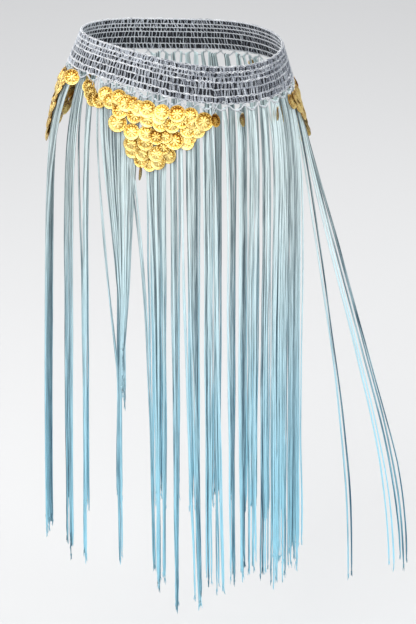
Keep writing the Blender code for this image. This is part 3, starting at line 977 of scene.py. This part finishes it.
def add_cords(soup, cords):
    """Adds a group of cords, each tied to the chain, hanging in layers where they crowd."""
    count = cords.count
    top, top_width = spread(count, cords.top_from, cords.top_to, 0.0, TOP_UNEVEN)
    mid, mid_width = spread(count, cords.mid_from, cords.mid_to, MID_DROP, cords.uneven)
    low, low_width = spread(count, cords.low_from, cords.low_to, FRINGE_REACH, cords.uneven)
    edge_run = run_at(top)
    tied = angle_at(gathered(edge_run)) - angle_at(edge_run)
    reach = rng.uniform(cords.shortest_mm, cords.longest_mm, (count, 1)) * MM
    settled = cords.settled_mm * MM if cords.settled_mm else reach
    drop = reach * CORD_STEPS
    settled_drop = (cords.settled_mm or 0.9 * cords.shortest_mm) * MM
    width = np.interp(drop, [0, MID_DROP, settled_drop], [top_width, mid_width, low_width])
    layers = np.clip(count * CROWDED / width - 1, 0, cords.most_layers)
    rank = rng.permutation(count)[:, None] / max(count - 1, 1) - 0.5
    out = rank * layers * 2 * CORD_RADIUS + (0.5 + rank * 0.8) * MM
    phases = rng.uniform(0, 2 * pi, (3, count, 1))
    shortest, longest = np.array(WAVES).T[..., None, None]
    lengths = rng.uniform(shortest, longest, (3, count, 1))
    wave, slow_wave, crimp = np.sin(2 * pi * drop / lengths + phases)
    waves = (WAVE_MM * wave + SLOW_WAVE_MM * slow_wave) * np.minimum(drop / 0.1, 1)
    crimp = crimp * np.clip(CORD_STEPS - CRIMPED_PART, 0, 1) / (1 - CRIMPED_PART)
    crimp_mm = CRIMP_MM * rng.uniform(0.1, 1.0, (count, 1)) * cords.uneven
    aside = (waves + crimp * crimp_mm) * MM
    knot_angle = top + tied
    knot_drop = chain_drop(run_at(knot_angle))
    angle = bunch_angle(top, mid, low, np.minimum(drop, settled), settled)
    angle = angle + tied * np.exp(-drop / TIE_FADE)
    angle = angle + aside / side_scale(angle, knot_drop + drop)
    paths = hang_point(knot_angle, angle, knot_drop + CHAIN_RADIUS + drop, out)
    radial = outward_at(knot_angle)
    radial = unit(radial - radial * [0, 0, 1])
    chain = edge_point(knot_angle, knot_drop)
    hitch = [chain + radial * away * MM + np.array([0, 0, up * MM]) for away, up in HITCH]
    paths = np.concatenate([*hitch, paths[:, 1:]], axis=1)
    swell = rng.uniform(*SWELL, (count, 1))
    radius = CORD_RADIUS * swell * np.ones(paths.shape[1])
    radius[:, :len(HITCH)] *= 0.75
    radius[:, -2:] *= (0.75, 0.45)
    length = np.linspace(0, 1, paths.shape[1])
    turn = phases[0] + length * rng.uniform(-2.2, 2.2, (count, 1)) * pi
    tone = rng.uniform(0, 1, count)
    add_tubes(soup, paths, radius, CORD_SIDES, radial, CORD_FLAT, turn, tone)
    add_frays(soup, paths[:, -3], paths[:, -1], radial[:, 0], tone, reach)


def add_frays(soup, before, end, radial, tone, reach):
    """Splits each cord's end into a few thin strands of uneven length."""
    t = np.linspace(0, 1, 5)[None, :, None]
    radius = (0.62 - 0.34 * t[..., 0]) * MM
    heading = unit(end - before)[:, None, :]
    each = (len(end), 1, 3)
    for _ in range(FRAYS):
        length = rng.uniform(*FRAY_MM, (len(end), 1, 1)) * MM
        off = rng.normal(0, 0.45, each) * MM
        sway, curl = rng.normal(0, 0.09, each), rng.normal(0, 0.06, each)
        start = end[:, None, :] - heading * 4 * MM + off
        paths = start + length * (heading * t + sway * t**1.5 + curl * t**3)
        add_tubes(soup, paths, radius, 5, radial[:, None, :], tone=tone, starts_at=reach)


def make_fringe(material):
    """Every bunch of cords."""
    made = []
    for where, groups in FRINGE.items():
        name = "fringe_" + where
        soup = Soup()
        for group in groups:
            add_cords(soup, Cords(*group))
        bunch = soup.make(name + "_cords", material, "fringe")
        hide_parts(name)
        made.append(bunch)
    return made


# ---- The studio ----

FLOOR_HEIGHT = -1.02
FLOOR_HALF_WIDTH = 30.0
CAMERA_AZIMUTH = radians(18.0)
CAMERA_ELEVATION = radians(18.1)
CAMERA_DISTANCE = 4.57
CAMERA_LENS = 173.5
SENSOR_HEIGHT = 36.0
PHOTO_WIDTH, PHOTO_HEIGHT = 416, 624
AIM_ACROSS = 0.0401  # how far the frame's middle is to the right of the origin
AIM_HEIGHT = -0.4009  # and how far above it
FLOOR_COLOUR = (0.60, 0.60, 0.60, 1)
SKY_COLOUR = (0.80, 0.81, 0.83, 1)
SKY_STRENGTH = 0.85

Softbox = namedtuple("Softbox", "azimuth_deg elevation_deg distance width height watts colour")
SOFTBOXES = [Softbox(*row) for row in (
    (-4, 32, 3, 2, 2.2, 50, (1, 0.99, 0.97)),
    (64, 22, 3.2, 1, 2.2, 34, (0.96, 0.98, 1)),
    (-95, 30, 3, 0.8, 2, 30, (1, 0.99, 0.98)),
    (172, 40, 3.6, 2, 2, 28, (1, 1, 1)),
    (20, 80, 2.6, 1.6, 1.6, 14, (1, 1, 1)),
    (198, 38, 6.5, 5, 5, 120, (1, 1, 1)),
)]


def around(azimuth, elevation):
    """The direction from the object to a camera or light."""
    flat = cos(elevation)
    return Vector((sin(azimuth) * flat, -cos(azimuth) * flat, sin(elevation)))


def camera_frame():
    """The camera's direction, its rightward direction, and the point that it looks at."""
    across = Vector((cos(CAMERA_AZIMUTH), sin(CAMERA_AZIMUTH), 0))
    aim = across * AIM_ACROSS + Vector((0, 0, AIM_HEIGHT))
    return around(CAMERA_AZIMUTH, CAMERA_ELEVATION), across, aim


def aimed(name, data, aim, back, distance):
    """Adds a camera or light that looks at the point aim."""
    made = show(name, data)
    made.location = aim + back * distance
    made.rotation_euler = (-back).to_track_quat("-Z", "Y").to_euler()
    return made


def make_camera():
    """The camera, at the photo's angle."""
    data = bpy.data.cameras.new("camera")
    data.lens = CAMERA_LENS
    back, _, aim = camera_frame()
    bpy.context.scene.camera = aimed("camera", data, aim, back, CAMERA_DISTANCE)


def make_floor():
    """A plain pale floor."""
    look = Finish("floor", Base_Color=FLOOR_COLOUR, Roughness=0.9)
    w, z = FLOOR_HALF_WIDTH, FLOOR_HEIGHT
    points = [(-w, -w, z), (w, -w, z), (w, w, z), (-w, w, z)]
    mesh = bpy.data.meshes.new("floor")
    mesh.from_pydata(points, [], [(0, 1, 2, 3)])
    mesh.materials.append(look.material)
    floor = show("floor", mesh)


def make_lights():
    """Softboxes round the scarf, and an even pale sky."""
    aim = Vector((0, 0, AIM_HEIGHT * 0.6))
    for i, box in enumerate(SOFTBOXES):
        data = bpy.data.lights.new(f"softbox_{i}", "AREA")
        data.shape = "RECTANGLE"
        data.size, data.size_y = box.width, box.height
        data.energy, data.color = box.watts, box.colour
        back = around(radians(box.azimuth_deg), radians(box.elevation_deg))
        aimed(f"softbox_{i}", data, aim, back, box.distance)
    world = bpy.data.worlds.new("studio")
    world.use_nodes = True
    background = world.node_tree.nodes["Background"]
    background.inputs["Color"].default_value = SKY_COLOUR
    background.inputs["Strength"].default_value = SKY_STRENGTH
    bpy.context.scene.world = world
    bpy.context.scene.view_settings.view_transform = "Standard"


def main():
    make_camera()
    posts = yarn_finish("band_posts", POST, 3.2 * MM)
    ridge = yarn_finish("band_ridges", RIDGE, 3.0 * MM)
    chain = yarn_finish("chain_yarn", CHAIN, 2.4 * MM)
    cord, gold = cord_finish(), gold_finish()
    shade_sheet = make_shade_ground(shade_ground_finish())
    trim = [
        make_ridges("band_ridges_low", RIDGES[:4], ridge),
        make_ridges("band_ridges_high", RIDGES[4:], ridge),
        make_posts(posts),
        make_seam_threads(chain),
        make_chain_edge(chain),
    ]
    trim += make_front_apron(gold, chain)
    for name in SIDE_APRONS:
        trim += make_side_apron(name, gold, chain)
    for name in SINGLE_COINS:
        trim += make_single_coin(name, gold, chain)
    trim += make_fringe(cord)
    make_floor()
    make_lights()


main()
